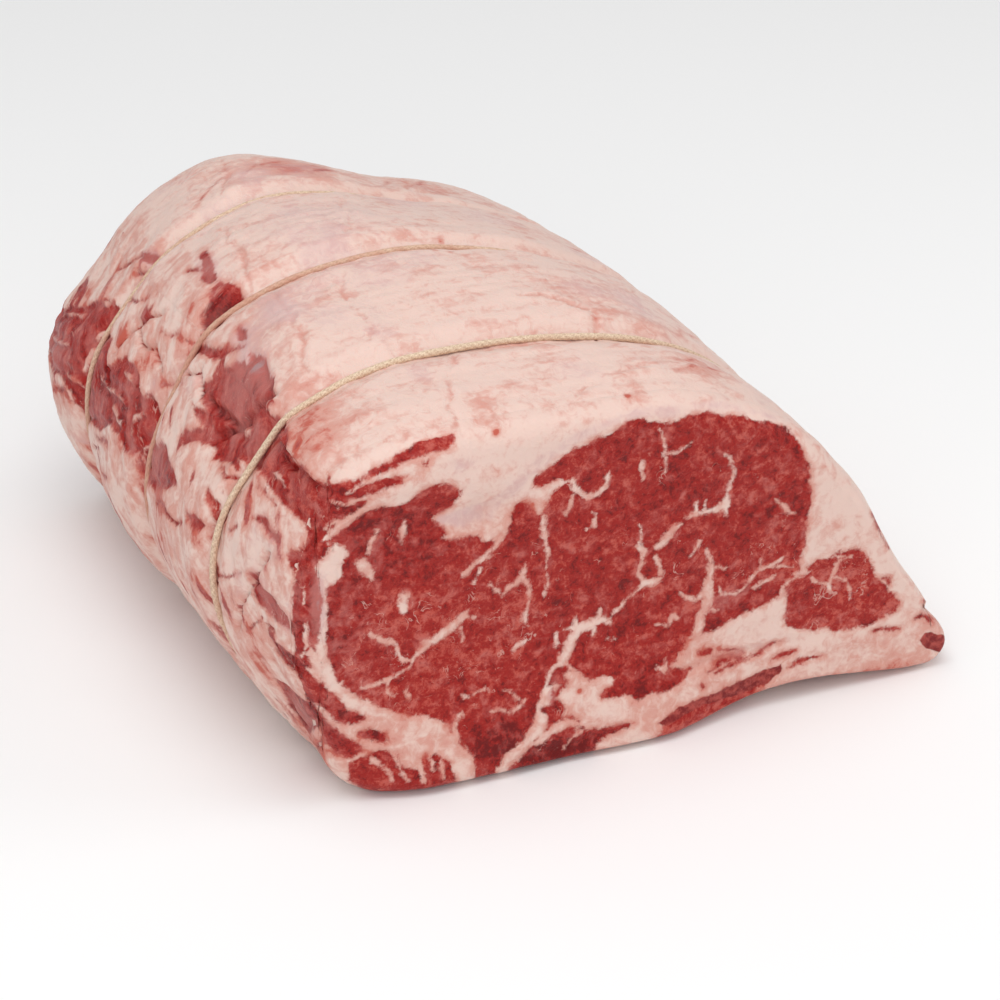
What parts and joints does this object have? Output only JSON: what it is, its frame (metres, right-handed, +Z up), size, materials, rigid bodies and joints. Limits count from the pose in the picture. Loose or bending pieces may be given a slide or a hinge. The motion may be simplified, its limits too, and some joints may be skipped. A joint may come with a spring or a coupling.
{
  "type": "raw beef rib roast",
  "caption": "Raw bone-in beef rib roast lying ribs down, with a fat cover over the lean, a cut face at one end and turns of butcher's twine round it.",
  "frame": {"origin": "middle of the base, on the surface that the roast lies on", "axes": "+X from the chine side to the rib tips, +Y back along the loin away from the marbled cut face, +Z up"},
  "size_m": [0.2522, 0.245, 0.1402],
  "materials": {
    "lean": "moist raw lean beef, fine grain with fat seams",
    "fat": "cool firm beef fat with thin membrane, satin",
    "bone": "sawn rib bone with red marrow, satin",
    "twine": "twisted cotton, matte"
  },
  "bodies": {
    "root": {"lean_body": "lean", "fat_cover": "fat", "side_muscle": "lean", "rib_bone_1": "bone", "rib_bone_2": "bone", "rib_bone_3": "bone", "rib_bone_4": "bone", "twine_1": "twine", "twine_2": "twine", "twine_3": "twine"}
  },
  "joints": []
}
